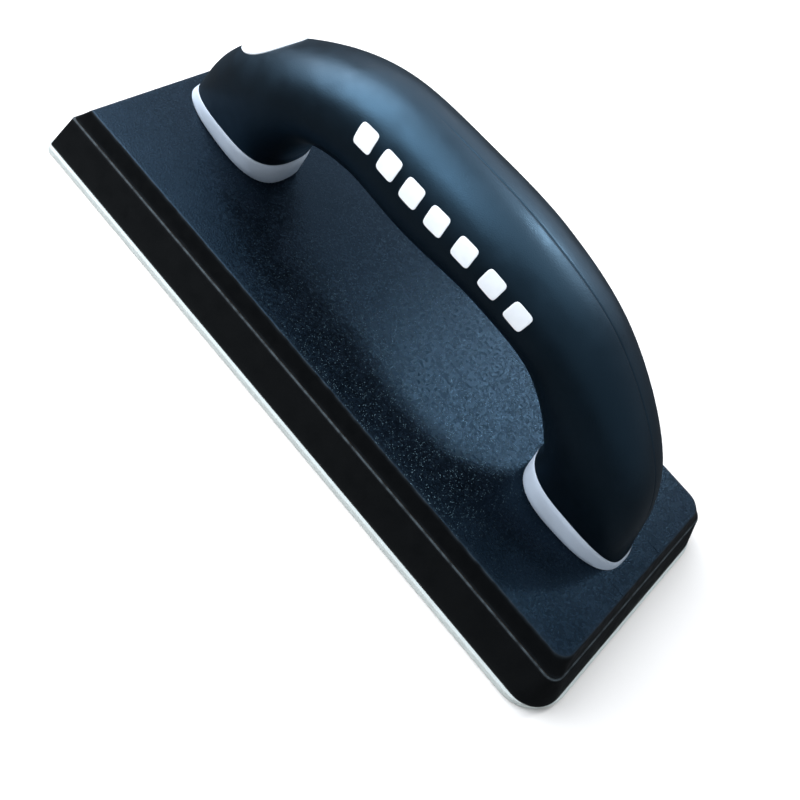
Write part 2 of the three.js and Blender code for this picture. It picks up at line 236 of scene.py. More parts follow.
padLook = {
    "color": (0.0016, 0.0020, 0.0023),
    "dustColor": (0.008, 0.009, 0.0105),
    # pale colour that paints the highlight along the pad's top ledge
    "paintedLedgeHighlightColor": (0.062, 0.076, 0.083),
    "roughness": 0.6,
    "smoothest": 0.52,
    "roughest": 0.72,
    "specular": 0.16,
    "dustSize": 0.45,
    "paintedLedgeHighlightPatchSize": 2.4,
}


def padFinish():
    look = padLook
    material, shader = newFinish("black_rubber", look)
    dust = spread(material, grain(material, look["dustSize"], 3, 0.7), 0.56, 0.75, 0, 0.5)
    # painted highlight: the mask lights the pad's top ledge in a pale colour where the key light catches it;
    # at the foot edge the same mask marks slight wear
    patchyLedgeHighlight = spread(material, grain(material, look["paintedLedgeHighlightPatchSize"], 3), 0.32, 0.6, 0.25, 1)
    wearAndSheen = multiply(material, wearAndSheenMask(material), patchyLedgeHighlight)
    wornAndSheen = blendColors(material, wearAndSheen, look["color"], look["paintedLedgeHighlightColor"])
    paint(material, shader, dust, wornAndSheen, look["dustColor"])
    varyRoughness(material, shader, grain(material, 6, 3), look["smoothest"], look["roughest"])
    soft = addBump(material, shader, grain(material, 0.5, 4, 0.65), 0.03, 0.7)
    addBump(material, shader, grain(material, 14, 2), 0.12, 0.5, soft)
    return material


faceLook = {
    "color": (0.66, 0.71, 0.685),
    "shadeColor": (0.55, 0.58, 0.55),
    "edgeColor": (0.60, 0.62, 0.58),
    "edgeStrength": 0.6,
    "roughness": 0.55,
    "smoothest": 0.45,
    "roughest": 0.67,
    "specular": 0.4,
    "mottleSize": 5,
}


def faceFinish():
    look = faceLook
    material, shader = newFinish("white_face_rubber", look)
    mottle = spread(material, grain(material, look["mottleSize"], 4, 0.6), 0.35, 0.75, 0, 0.8)
    tone = blendColors(material, mottle, look["color"], look["shadeColor"])
    wornAndSheen = spread(material, wearAndSheenMask(material), 0, 1, 0, look["edgeStrength"])
    paint(material, shader, wornAndSheen, tone, look["edgeColor"])
    varyRoughness(material, shader, grain(material, 2, 3), look["smoothest"], look["roughest"])
    addBump(material, shader, grain(material, 0.6, 4, 0.6), 0.03, 0.6)
    return material


gripLook = {
    "color": (0.0018, 0.0024, 0.0034),
    "rubbedColor": (0.0032, 0.0046, 0.0066),
    "roughness": 0.38,
    "smoothest": 0.33,
    "roughest": 0.45,
    "specular": 0.74,
    # painted reflection colour: the blue cast of the studio light's reflections is set here in the finish
    "paintedReflectionTint": (0.33, 0.68, 1.0),
    "rubbedSize": 16,
    "grainSize": 0.28,
    "grainDepth": 0.016,
}


def gripFinish():
    look = gripLook
    material, shader = newFinish("soft_touch_rubber", look, look["paintedReflectionTint"])
    rubbed = spread(material, grain(material, look["rubbedSize"], 3), 0.4, 0.75, 0, 0.7)
    paint(material, shader, rubbed, look["color"], look["rubbedColor"])
    varyRoughness(material, shader, grain(material, 7, 4), look["smoothest"], look["roughest"])
    skin = addBump(material, shader, cells(material, look["grainSize"]), look["grainDepth"], 0.8)
    addBump(material, shader, grain(material, 1.4, 3), 0.02, 0.5, skin)
    return material


coreLook = {
    "color": (0.70, 0.775, 0.875),
    "shadeColor": (0.62, 0.68, 0.76),
    "roughness": 0.36,
    "smoothest": 0.28,
    "roughest": 0.46,
    "specular": 0.45,
    "cloudSize": 8,
}


def coreFinish():
    look = coreLook
    material, shader = newFinish("white_core_plastic", look)
    cloud = spread(material, grain(material, look["cloudSize"], 3), 0.35, 0.75, 0, 0.7)
    paint(material, shader, cloud, look["color"], look["shadeColor"])
    varyRoughness(material, shader, grain(material, 1.5, 3), look["smoothest"], look["roughest"])
    addBump(material, shader, grain(material, 0.5, 3), 0.012, 0.5)
    return material


inlayLook = {
    "color": (0.88, 0.90, 0.92),
    "shadeColor": (0.80, 0.83, 0.86),
    "roughness": 0.3,
    "smoothest": 0.23,
    "roughest": 0.4,
    "specular": 0.5,
    "cloudSize": 3,
}
printLook = {**inlayLook, "roughness": 0.42, "smoothest": 0.35, "roughest": 0.52}


def whiteFinish(name, look):
    material, shader = newFinish(name, look)
    cloud = spread(material, grain(material, look["cloudSize"], 3), 0.35, 0.75, 0, 0.6)
    paint(material, shader, cloud, look["color"], look["shadeColor"])
    varyRoughness(material, shader, grain(material, 0.8, 3), look["smoothest"], look["roughest"])
    addBump(material, shader, grain(material, 0.35, 3), 0.01, 0.5)
    return material


adhesiveLook = {
    "color": (0.016, 0.014, 0.012),
    "paleColor": (0.034, 0.028, 0.02),
    "roughness": 0.45,
    "smoothest": 0.35,
    "roughest": 0.6,
    "specular": 0.3,
}


def adhesiveFinish():
    look = adhesiveLook
    material, shader = newFinish("contact_adhesive", look)
    varyRoughness(material, shader, grain(material, 1.2, 4), look["smoothest"], look["roughest"])
    paint(material, shader, grain(material, 2.5, 3), look["color"], look["paleColor"])
    addBump(material, shader, grain(material, 0.8, 4), 0.04, 0.7)
    return material


steelLook = {
    "color": (0.52, 0.53, 0.52),
    "paleColor": (0.70, 0.70, 0.66),
    "roughness": 0.3,
    "smoothest": 0.22,
    "roughest": 0.42,
    "specular": 0.5,
}


def steelFinish():
    look = steelLook
    material, shader = newFinish("zinc_plated_steel", look)
    shader.inputs["Metallic"].default_value = 1
    paint(material, shader, grain(material, 1.2, 4), look["color"], look["paleColor"])
    varyRoughness(material, shader, grain(material, 0.5, 4), look["smoothest"], look["roughest"])
    addBump(material, shader, grain(material, 0.25, 3), 0.01, 0.5)
    return material


finishes = {
    "face": faceFinish(),
    "pad": padFinish(),
    "plate": plateFinish(),
    "bevel": bevelFinish(),
    "core": coreFinish(),
    "grip": gripFinish(),
    "inlay": whiteFinish("white_inlay_plastic", inlayLook),
    "print": whiteFinish("white_print", printLook),
    "adhesive": adhesiveFinish(),
    "steel": steelFinish(),
}
print("materials made:", len(finishes))


def makePiece(name, points, faces, material, sharpAngle=35, wearAndSheen=None):
    mesh = bpy.data.meshes.new(name)
    mesh.from_pydata([tuple(p) for p in points], [], faces)
    mesh.validate()
    if wearAndSheen is not None:
        mesh.attributes.new("wearAndSheen", "FLOAT", "POINT").data.foreach_set("value", np.asarray(wearAndSheen, np.float32))
    piece = bpy.data.objects.new(name, mesh)
    bpy.context.scene.collection.objects.link(piece)
    if material is not None:
        mesh.materials.append(material)
    turnOutward(mesh)
    smooth(mesh, sharpAngle)
    return piece


def turnOutward(mesh):
    work = bmesh.new()
    work.from_mesh(mesh)
    bmesh.ops.recalc_face_normals(work, faces=work.faces)
    if work.calc_volume(signed=True) < 0:
        bmesh.ops.reverse_faces(work, faces=work.faces)
    work.to_mesh(mesh)
    work.free()


def smooth(mesh, sharpAngle):
    mesh.polygons.foreach_set("use_smooth", [True] * len(mesh.polygons))
    mesh.set_sharp_from_angle(angle=math.radians(sharpAngle))


# quads between neighbouring rings, and a flat cap at each end
def stackFaces(ringCount, perRing, capped=True, looped=False):
    faces = []
    for r in range(ringCount if looped else ringCount - 1):
        start = r * perRing
        above = ((r + 1) % ringCount) * perRing
        for i in range(perRing):
            j = (i + 1) % perRing
            faces.append((start + i, start + j, above + j, above + i))
    if capped and not looped:
        faces.append(tuple(reversed(range(perRing))))
        faces.append(tuple(range((ringCount - 1) * perRing, ringCount * perRing)))
    return faces


def stackPiece(name, rings, material, sharpAngle=35, wearAndSheen=None, looped=False):
    perRing = len(rings[0])
    points = np.vstack(rings)
    faces = stackFaces(len(rings), perRing, True, looped)
    wearAndSheenValues = None if wearAndSheen is None else np.repeat(wearAndSheen, perRing)
    return makePiece(name, points, faces, material, sharpAngle, wearAndSheenValues)


def cut(piece, cutter, how="DIFFERENCE"):
    modifier = piece.modifiers.new("cut", "BOOLEAN")
    modifier.operation = how
    modifier.solver = "EXACT"
    modifier.object = cutter
    graph = bpy.context.evaluated_depsgraph_get()
    result = bpy.data.meshes.new_from_object(piece.evaluated_get(graph))
    piece.modifiers.clear()
    old = piece.data
    result.name = old.name
    piece.data = result
    bpy.data.meshes.remove(old)
    bpy.data.objects.remove(cutter)


def post(x, y, bottom, top, radius, steps=40):
    turn = np.linspace(0, 2 * math.pi, steps, endpoint=False)
    circle = np.stack([x + radius * np.cos(turn), y + radius * np.sin(turn)], 1)
    rings = [np.column_stack([circle, np.full(steps, z)]) for z in (bottom, top)]
    return stackPiece("cutter", rings, None)


def handOver(piece, slotName, *nodes):
    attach(piece, "root")
    if nodes:
        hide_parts(*nodes)
    return piece


smallestRadius = 0.15 * mm


# outline of one layer: near square at the toe, rounder at the heel, walked from the near toe corner
def layerRing(level, inset, z, longSteps=60, cornerSteps=20):
    toe, heel, side = level["toe"] + inset, level["heel"] - inset, level["side"] - inset
    toeRadius = max(level["toeRadius"] - inset, smallestRadius)
    heelRadius = max(level["heelRadius"] - inset, smallestRadius)
    quarter = math.pi / 2
    corners = [
        (heel - heelRadius, -side + heelRadius, heelRadius, -quarter),
        (heel - heelRadius, side - heelRadius, heelRadius, 0),
        (toe + toeRadius, side - toeRadius, toeRadius, quarter),
        (toe + toeRadius, -side + toeRadius, toeRadius, 2 * quarter),
    ]
    points = []
    for x, y, radius, start in corners:
        turn = start + np.linspace(0, quarter, cornerSteps + 1)
        points.append(np.column_stack([x + radius * np.cos(turn), y + radius * np.sin(turn)]))
    walked = []
    for k, arc in enumerate(points):
        after = points[(k + 1) % 4][0]
        share = np.linspace(0, 1, longSteps, endpoint=False)[1:, None]
        walked.append(arc)
        walked.append(arc[-1] + (after - arc[-1]) * share)
    flat = np.vstack(walked)
    return np.column_stack([flat, np.full(len(flat), z)])


def between(low, high, share):
    return {key: low[key] + (high[key] - low[key]) * share for key in low}


# slow waves along an edge, as a cut sheet has
def wavy(ring, depth, seed):
    x, y = ring[:, 0], ring[:, 1]
    longWave = np.sin(x * 410 + seed) * 0.5
    shortWave = np.sin(x * 923 + y * 700 + 2 * seed) * 0.3
    endWave = np.sin(y * 610 + seed) * 0.4
    moved = ring.copy()
    moved[:, 1] += np.sign(y) * depth * (longWave + shortWave + endWave)
    return moved


faceSizes = {
    "toeRadius": 2.5 * mm,
    "heelRadius": 14.6 * mm,
    "edgeRound": 0.35 * mm,
    "waviness": 0.05 * mm,
    "waveDrift": 900,  # how fast the waves change with height
}


def makeFace():
    sizes = faceSizes
    level = {
        "toe": faceLow.x, "heel": faceHigh.x, "side": faceHigh.y,
        "toeRadius": sizes["toeRadius"], "heelRadius": sizes["heelRadius"],
    }
    low, high, edge, waves = faceLow.z, faceHigh.z, sizes["edgeRound"], sizes["waviness"]
    quarter = np.linspace(0, math.pi / 2, 5)
    # inset, height and wear of each ring, from the underside up
    rows = [(1.2 * edge, low, 0)]
    rows += [(edge * (1 - math.sin(a)), low + edge * (1 - math.cos(a)), 0.5) for a in quarter]
    rows += [(0, (low + high) / 2, 0.1)]
    rows += [(edge * (1 - math.cos(a)), high - edge * (1 - math.sin(a)), 1) for a in quarter]
    rows += [(1.2 * edge, high, 0.4), (4 * edge, high, 0)]
    rings = [wavy(layerRing(level, inset + waves, z), waves, z * sizes["waveDrift"]) for inset, z, _ in rows]
    piece = stackPiece("faceSheet", rings, finishes["face"], 50, [w for _, _, w in rows])
    return handOver(piece, "face_white", "face_sheet")


padSizes = {
    "flare": 5.7 * mm,
    "toeFlare": 3.1 * mm,
    "toeRadius": 1 * mm,
    "footHeelRadius": 11.2 * mm,
    "topHeelRadius": 4.5 * mm,
    "edgeRound": 0.3 * mm,
    "waviness": 0.03 * mm,
    "waveDrift": 500,
}


def padLevels():
    sizes = padSizes
    foot = {
        "toe": padLow.x, "heel": padHigh.x, "side": padHigh.y,
        "toeRadius": sizes["toeRadius"], "heelRadius": sizes["footHeelRadius"],
    }
    top = {
        "toe": padLow.x + sizes["toeFlare"], "heel": padHigh.x - sizes["flare"],
        "side": padHigh.y - sizes["flare"],
        "toeRadius": sizes["toeRadius"], "heelRadius": sizes["topHeelRadius"],
    }
    return foot, top


def makePad():
    foot, top = padLevels()
    sizes = padSizes
    low, high, edge = padLow.z, padHigh.z, sizes["edgeRound"]
    # share of the flare, inset, height and wear of each ring, from the foot up; on the top ledge rings this
    # wear value paints a highlight along the ledge
    rows = [(0, 1.5 * edge, low, 0), (0, edge, low, 0)]
    rows += [(0, 0.3 * edge, low + 0.3 * edge, 0.12), (0.03, 0, low + edge, 0.03)]
    rows += [(share, 0, low + (high - low) * share, 0) for share in np.linspace(0.1, 0.9, 9)]
    rows += [(0.97, 0, high - edge, 0), (1, 0.25 * edge, high - 0.25 * edge, 0.7), (1, edge, high, 1)]
    rows += [(1, 2.2 * edge, high, 1), (1, 6 * edge, high, 0)]
    rings = []
    for share, inset, z, _ in rows:
        ring = layerRing(between(foot, top, share), inset, z)
        rings.append(wavy(ring, sizes["waviness"], z * sizes["waveDrift"]))
    piece = stackPiece("rubberPad", rings, finishes["pad"], 60, [w for _, _, _, w in rows])
    return handOver(piece, "pad_rubber", "rubber_pad")


plateSizes = {
    "bevel": 3 * mm,
    "toeBevel": 4.2 * mm,
    "toeRadius": 0.8 * mm,
    "footHeelRadius": 4 * mm,
    "topHeelRadius": 5.5 * mm,
    "edgeRound": 0.4 * mm,
    "holeRadius": 2.4 * mm,
    "recessRadius": 4.8 * mm,
    "recessDepth": 3.2 * mm,
    "seamLines": (-8.8 * mm, 12.6 * mm),  # fine raised lines behind the heel foot
    "seamHeight": 0.12 * mm,
    "seamHalfWidth": 0.16 * mm,
    "seamStart": 0.6 * mm,  # behind the heel foot
}


def screwCentres():
    places = []
    for name in ("screw_toe_left", "screw_toe_right", "screw_heel_left", "screw_heel_right"):
        low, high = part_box(name)
        places.append(((low.x + high.x) / 2, (low.y + high.y) / 2, high.z))
    return places


def makePlate():
    sizes = plateSizes
    foot = {
        "toe": plateLow.x, "heel": plateHigh.x, "side": plateHigh.y,
        "toeRadius": sizes["toeRadius"], "heelRadius": sizes["footHeelRadius"],
    }
    top = {
        "toe": plateLow.x + sizes["toeBevel"], "heel": plateHigh.x - sizes["bevel"],
        "side": plateHigh.y - sizes["bevel"],
        "toeRadius": sizes["toeRadius"], "heelRadius": sizes["topHeelRadius"],
    }
    low, high, edge = plateLow.z, plateHigh.z, sizes["edgeRound"]
    # share of the bevel, inset, height and wear of each ring, from the underside up
    rows = [(0, 2 * edge, low, 0), (0, 0.6 * edge, low, 0), (0, 0, low + 0.6 * edge, 0.2)]
    rows += [(share, 0, low + (high - low) * share, 0) for share in (0.15, 0.4, 0.65, 0.85)]
    rows += [(0.95, 0, high - 0.9 * edge, 0.3), (0.99, 0.12 * edge, high - 0.4 * edge, 0.8)]
    rows += [(1, 0.35 * edge, high - 0.1 * edge, 1), (1, 0.8 * edge, high, 0.7)]
    rows += [(1, 1.6 * edge, high, 0.2), (1, 6 * edge, high, 0)]
    rings = [layerRing(between(foot, top, share), inset, z) for share, inset, z, _ in rows]
    piece = stackPiece("backingPlate", rings, finishes["plate"], 60, [w for _, _, _, w in rows])
    for x, y, _ in screwCentres():
        cut(piece, post(x, y, low - mm, high + mm, sizes["holeRadius"]))
        cut(piece, post(x, y, low - mm, low + sizes["recessDepth"], sizes["recessRadius"]))
    start, end = coreHigh.x + sizes["seamStart"], top["heel"] - 1.2 * edge
    half, height = sizes["seamHalfWidth"], sizes["seamHeight"]
    profile = [(-half, -height), (-half * 0.4, height * 0.9), (half * 0.4, height * 0.9), (half, -height)]
    for y in sizes["seamLines"]:
        rings = [np.array([(x, y + a, high + b) for a, b in profile]) for x in (start, end)]
        cut(piece, stackPiece("seamLine", rings, finishes["plate"]), "UNION")
    piece.data.materials.clear()
    for name in ("plate", "bevel"):
        piece.data.materials.append(finishes[name])
    leastSlope, mostSlope = 0.1, 0.8  # how far a face of the bevel looks up
    for face in piece.data.polygons:
        face.material_index = 1 if leastSlope < face.normal.z < mostSlope else 0
    smooth(piece.data, 60)
    return handOver(piece, "plate_plastic", "backing_plate")


handleSizes = {
    "toeFootHalfLength": 22.8 * mm,
    "heelFootHalfLength": 20.5 * mm,
    "toeFootHalfWidth": 11.5 * mm,
    "heelFootHalfWidth": 13 * mm,
    "archRise": 52 * mm,
    "levelRise": 3.6 * mm,
    "collarHandHeight": 9.9 * mm,
    "toeCollarOuterHeight": 3.6 * mm,
    "heelCollarOuterHeight": 1 * mm,
    "toeCollarFall": 2.2,
    "heelCollarFall": 4,
    "uprightBlend": 0.08,
    "toeTaper": 0.18,
    "heelTaper": 0.045,
    "taperReach": 0.35,
    "footSquareness": 2.69,
    "gripSquareness": 2.12,
    # share of the span, share of the rise, half depth and half width
    "sections": [
        (0.054, 0.43, 18 * mm, 14.8 * mm),
        (0.158, 0.785, 13.8 * mm, 15.8 * mm),
        (0.289, 0.951, 15.1 * mm, 15.9 * mm),
        (0.449, 0.976, 16 * mm, 16.8 * mm),
        (0.626, 1, 14.3 * mm, 16.6 * mm),
        (0.795, 0.89, 13.9 * mm, 14.7 * mm),
        (0.942, 0.498, 16.7 * mm, 13.9 * mm),
    ],
}
toeFootX = coreLow.x + handleSizes["toeFootHalfLength"]
heelFootX = coreHigh.x - handleSizes["heelFootHalfLength"]
plateTopZ = plateHigh.z


# a smooth curve through the points, ends carried on straight
def throughPoints(points, shares):
    points = np.asarray(points, float)
    ends = np.vstack([2 * points[0] - points[1], points, 2 * points[-1] - points[-2]])
    place = np.clip(np.atleast_1d(shares), 0, 1) * (len(points) - 1)
    first = np.minimum(place.astype(int), len(points) - 2)
    w = (place - first)[:, None]
    before, start, end, after = (ends[first + k] for k in range(4))
    slopes = (end - before) / 2, (after - start) / 2
    near = (2 * w**3 - 3 * w**2 + 1) * start + (w**3 - 2 * w**2 + w) * slopes[0]
    return near + (3 * w**2 - 2 * w**3) * end + (w**3 - w**2) * slopes[1]


def centreLine(shares):
    sizes = handleSizes
    span = heelFootX - toeFootX
    points = [(toeFootX, plateTopZ)]
    points += [(toeFootX + a * span, plateTopZ + r * sizes["archRise"]) for a, r, _, _ in sizes["sections"]]
    points += [(heelFootX, plateTopZ)]
    return throughPoints(points, shares)


def halfSizes(shares):
    sizes = handleSizes
    points = [(sizes["toeFootHalfLength"], sizes["toeFootHalfWidth"])]
    points += [(depth, width) for _, _, depth, width in sizes["sections"]]
    points += [(sizes["heelFootHalfLength"], sizes["heelFootHalfWidth"])]
    return throughPoints(points, shares)


def shareAtHeight(z, fromHeel):
    low, high = 0.0, 0.4  # the uprights lie within this share of the arch
    halvings = 40
    for _ in range(halvings):
        middle = (low + high) / 2
        if centreLine(1 - middle if fromHeel else middle)[0, 1] < z:
            low = middle
        else:
            high = middle
    return 1 - low if fromHeel else low


toeLevelShare = shareAtHeight(plateTopZ + handleSizes["levelRise"], False)
heelLevelShare = shareAtHeight(plateTopZ + handleSizes["levelRise"], True)


# level sections over the feet, square to the arch between them
def sectionFrames(shares):
    shares = np.atleast_1d(np.asarray(shares, float))
    step = 1e-4
    ahead, behind = centreLine(np.minimum(shares + step, 1)), centreLine(np.maximum(shares - step, 0))
    heading = np.arctan2(ahead[:, 1] - behind[:, 1], ahead[:, 0] - behind[:, 0])
    fromToe = shares < 0.5
    upright = np.where(fromToe, math.pi / 2, -math.pi / 2)
    past = np.where(fromToe, shares - toeLevelShare, heelLevelShare - shares)
    turn = np.clip(past / handleSizes["uprightBlend"], 0, 1)
    angle = upright + (heading - upright) * turn * turn * (3 - 2 * turn)
    return centreLine(shares), angle


def bend(value, power):
    return np.sign(value) * np.abs(value) ** power


# points on the handle drawn in by an inset, one for each pair of a share and an angle round the section
def handlePoints(shares, inset, angles):
    sizes = handleSizes
    centre, angle = sectionFrames(shares)
    size = halfSizes(shares) - inset
    edge = np.abs(2 * shares - 1)
    power = 2 / (sizes["gripSquareness"] + (sizes["footSquareness"] - sizes["gripSquareness"]) * edge**3)
    footShare = np.minimum(shares, 1 - shares)
    taper = np.where(shares < 0.5, sizes["toeTaper"], sizes["heelTaper"])
    taper = taper * np.maximum(0, 1 - footShare / sizes["taperReach"])
    depth = bend(np.cos(angles), power)
    side = bend(np.sin(angles), power) * (1 - taper * depth)
    out = depth * size[:, 0]
    x = centre[:, 0] - np.sin(angle) * out
    z = centre[:, 1] + np.cos(angle) * out
    return np.column_stack([x, side * size[:, 1], z])


# rings of such points; the shares are one for each ring, or one for each point of each ring
def handleRings(shares, inset, angles):
    shares = np.atleast_1d(np.asarray(shares, float))
    if shares.ndim == 1:
        shares = np.repeat(shares[:, None], len(angles), 1)
    points = handlePoints(shares.ravel(), inset, np.tile(angles, len(shares)))
    return points.reshape(len(shares), len(angles), 3)


# height of a collar's rim above the plate, which falls from the hand's side outwards
def rimHeight(x, atHeel):
    sizes = handleSizes
    end, footX, outward = ("heel", heelFootX, 1) if atHeel else ("toe", toeFootX, -1)
    half = outward * sizes[end + "FootHalfLength"]
    share = np.clip((x - footX + half) / (2 * half), 0, 1)
    fall = sizes["collarHandHeight"] - sizes[end + "CollarOuterHeight"]
    return sizes["collarHandHeight"] - fall * share ** sizes[end + "CollarFall"]


# share of the arch at which each angle's line up the handle passes the rim, give or take a lift
def rimShares(atHeel, inset, lift, angles):
    tried = np.linspace(0, 0.2, 600)  # a rim is always this near to its foot
    rings = handleRings(1 - tried if atHeel else tried, inset, angles)
    above = rings[:, :, 2] - plateTopZ - rimHeight(rings[:, :, 0], atHeel) - lift
    first = np.argmax(above > 0, axis=0)
    column = np.arange(len(angles))
    low, high = above[first - 1, column], above[first, column]
    share = tried[first - 1] + (tried[first] - tried[first - 1]) * low / (low - high)
    return 1 - share if atHeel else share


def rimRing(atHeel, inset, lift, angles):
    return handleRings(rimShares(atHeel, inset, lift, angles)[None, :], inset, angles)[0]


# angles round a section, closer together beside the moulding line on the outer side
def roundAngles(steps=120, fine=(0.012, 0.03, 0.05)):
    even = np.linspace(0, 2 * math.pi, steps, endpoint=False)
    near = [sign * value for value in fine for sign in (-1, 1)]
    kept = [a for a in even if min(a, 2 * math.pi - a) > 1.05 * max(fine) or a == 0]
    return np.sort(np.mod(np.array(kept + near), 2 * math.pi))


gripSizes = {
    "coverThickness": 2.4 * mm,
    "rimRound": 0.35 * mm,
    "liftOffCollar": 0.06 * mm,
    "lineDepth": 0.16 * mm,  # moulding line along the outer side
    "lineHalfWidth": 0.2 * mm,
    "lineStart": 0.40,
    "lineFull": 0.50,
    "alongSteps": 220,
}


def smoothRise(value, start, end):
    t = np.clip((value - start) / (end - start), 0, 1)
    return t * t * (3 - 2 * t)


# the grip's outer surface, with its moulding line, as rings
def gripSurface(shares, angles):
    sizes = gripSizes
    rings = handleRings(shares, 0, angles)
    centre = centreLine(shares.ravel()).reshape(*shares.shape, 2)
    fade = smoothRise(shares, sizes["lineStart"], sizes["lineFull"])
    outer = np.cos(angles)[None, :] > 0.5  # only the side away from the hand
    depth = sizes["lineDepth"] * fade * outer * np.exp(-((rings[:, :, 1] / sizes["lineHalfWidth"]) ** 2))
    inward = np.stack([centre[:, :, 0] - rings[:, :, 0], 0 * depth, centre[:, :, 1] - rings[:, :, 2]], 2)
    inward /= np.linalg.norm(inward, axis=2, keepdims=True)
    return rings + inward * depth[:, :, None]


# shares of a grid of rings between the two collars' rims
def sharesBetweenRims(inset, lift, angles, steps):
    start, end = (rimShares(atHeel, inset, lift, angles) for atHeel in (False, True))
    return start + (end - start) * np.linspace(0, 1, steps + 1)[1:-1, None]


def makeGrip():
    sizes = gripSizes
    angles = roundAngles()
    base, rim = sizes["liftOffCollar"], sizes["rimRound"]
    thickness, steps = sizes["coverThickness"], sizes["alongSteps"]
    outer = gripSurface(sharesBetweenRims(0, base + 1.2 * rim, angles, steps), angles)
    inner = handleRings(sharesBetweenRims(thickness, base, angles, steps), thickness, angles)
    bends = ((thickness, 0), (rim, 0), (0.3 * rim, 0.3 * rim), (0, rim))  # inset and lift round the edge
    edges = []
    for atHeel in (False, True):
        edges.append([rimRing(atHeel, inset, base + lift, angles) for inset, lift in bends])
    loop = edges[0] + list(outer) + edges[1][::-1] + list(inner[::-1])
    return stackPiece("gripCover", loop, finishes["grip"], 40, None, True)


surfaceSteps = 160
surfaceAngles = np.linspace(0, 2 * math.pi, 96, endpoint=False)
surfaceShares = np.linspace(toeLevelShare, heelLevelShare, surfaceSteps + 1)
surfaceRings = handleRings(surfaceShares, 0, surfaceAngles)
surfaceTree = BVHTree.FromPolygons(
    [tuple(p) for p in surfaceRings.reshape(-1, 3)], stackFaces(surfaceSteps + 1, len(surfaceAngles), False)
)


dropHeight = 12 * mm
patchEdge = ((1, 1), (0.5, 0.85), (0.15, 0.5), (0, 0))  # place from the rim and height, in edge rounds


# a thin piece lying on the grip: rings of its outline dropped onto the surface from outside
def surfacePatch(name, centre, along, across, outline, proud, sunk, edgeRound, material, turns=72, rows=10):
    normal = along.cross(across).normalized()
    angles = np.linspace(0, 2 * math.pi, turns, endpoint=False)
    flat = np.array([outline(a) for a in angles])
    reach = np.abs(flat).max()
    scales = list(np.linspace(0, 1, rows)[1:] ** 0.85)
    edgeShare = edgeRound / reach
    scales = [s for s in scales if s < 1 - 1.6 * edgeShare]
    heights = [1] * len(scales) + [height for _, height in patchEdge]
    scales += [1 - place * edgeShare for place, _ in patchEdge]
    top, floor = [], []

    def drop(u, v):
        start = centre + along * u + across * v + normal * dropHeight
        hit, hitNormal, _, _ = surfaceTree.ray_cast(start, -normal)
        if hit is None:
            hit, hitNormal, _, _ = surfaceTree.find_nearest(start)
        if hitNormal.dot(normal) < 0:
            hitNormal = -hitNormal
        return hit, hitNormal

    for scale, height in zip(scales, heights):
        topRing, floorRing = [], []
        for u, v in flat * scale:
            hit, hitNormal = drop(u, v)
            rise = proud - (1 - height) * edgeRound
            topRing.append(hit + hitNormal * rise)
            floorRing.append(hit - hitNormal * sunk)
        top.append(topRing)
        floor.append(floorRing)
    hit, hitNormal = drop(0, 0)
    points = [hit + hitNormal * proud] + [p for ring in top for p in ring]
    points += [p for ring in reversed(floor) for p in ring] + [hit - hitNormal * sunk]
    faces = [(0, 1 + i, 1 + (i + 1) % turns) for i in range(turns)]
    ringCount = 2 * len(scales)
    faces += [tuple(1 + k for k in face) for face in stackFaces(ringCount, turns, False)]
    last, start = len(points) - 1, 1 + (ringCount - 1) * turns
    faces += [(last, start + (i + 1) % turns, start + i) for i in range(turns)]
    return makePiece(name, points, faces, material, 45)


def placeOnArch(share):
    centre, angle = sectionFrames(share)
    out = Vector((-math.sin(angle[0]), 0, math.cos(angle[0])))
    along = Vector((math.cos(angle[0]), 0, math.sin(angle[0])))
    return Vector((centre[0, 0], 0, centre[0, 1])), along, out


inlaySizes = {
    "place": 0.171,  # share of the arch
    "halfLength": 12.3 * mm,
    "halfWidth": 8.3 * mm,
    "gap": 0.12 * mm,
    "proud": 0.35 * mm,
    "sunk": 2.3 * mm,
    "edgeRound": 0.5 * mm,
}


def oval(halfLength, halfWidth):
    return lambda a: (halfLength * math.cos(a), halfWidth * math.sin(a))


def inlayCutter():
    sizes = inlaySizes
    middle, along, out = placeOnArch(sizes["place"])
    across = out.cross(along)
    shape = oval(sizes["halfLength"] + sizes["gap"], sizes["halfWidth"] + sizes["gap"])
    outline = [shape(a) for a in np.linspace(0, 2 * math.pi, 96, endpoint=False)]
    pastTheGrip = 40 * mm
    rings = []
    for height in (0, pastTheGrip):
        rings.append(np.array([tuple(middle + out * height + along * u + across * v) for u, v in outline]))
    return stackPiece("cutter", rings, None)


def makeInlay():
    sizes = inlaySizes
    middle, along, out = placeOnArch(sizes["place"])
    across = out.cross(along)
    surface = middle + out * halfSizes(sizes["place"])[0, 0]
    shape = oval(sizes["halfLength"], sizes["halfWidth"])
    piece = surfacePatch(
        "thumbInlay", surface, along, across, shape, sizes["proud"], sizes["sunk"], sizes["edgeRound"],
        finishes["inlay"], 96, 12,
    )
    return handOver(piece, "inlay_plastic", "thumb_inlay")


# row of small tiles printed along the near side of the grip
tileSizes = {
    "count": 7,
    "firstShare": 0.405,
    "lastShare": 0.672,
    "firstTurn": 68,  # degrees round the section from the outer side, towards the near side
    "lastTurn": 79,
    "halfSide": 3.3 * mm,
    "cornerPower": 6,
    "proud": 0.12 * mm,
    "sunk": 0.1 * mm,
    "edgeRound": 0.08 * mm,
}


def roundedSquare(half, power):
    def outline(a):
        c, s = math.cos(a), math.sin(a)
        reach = half / (abs(c) ** power + abs(s) ** power) ** (1 / power)
        return reach * c, reach * s
    return outline


def gripPoint(share, turn):
    return Vector(handleRings(share, 0, np.array([turn]))[0, 0])


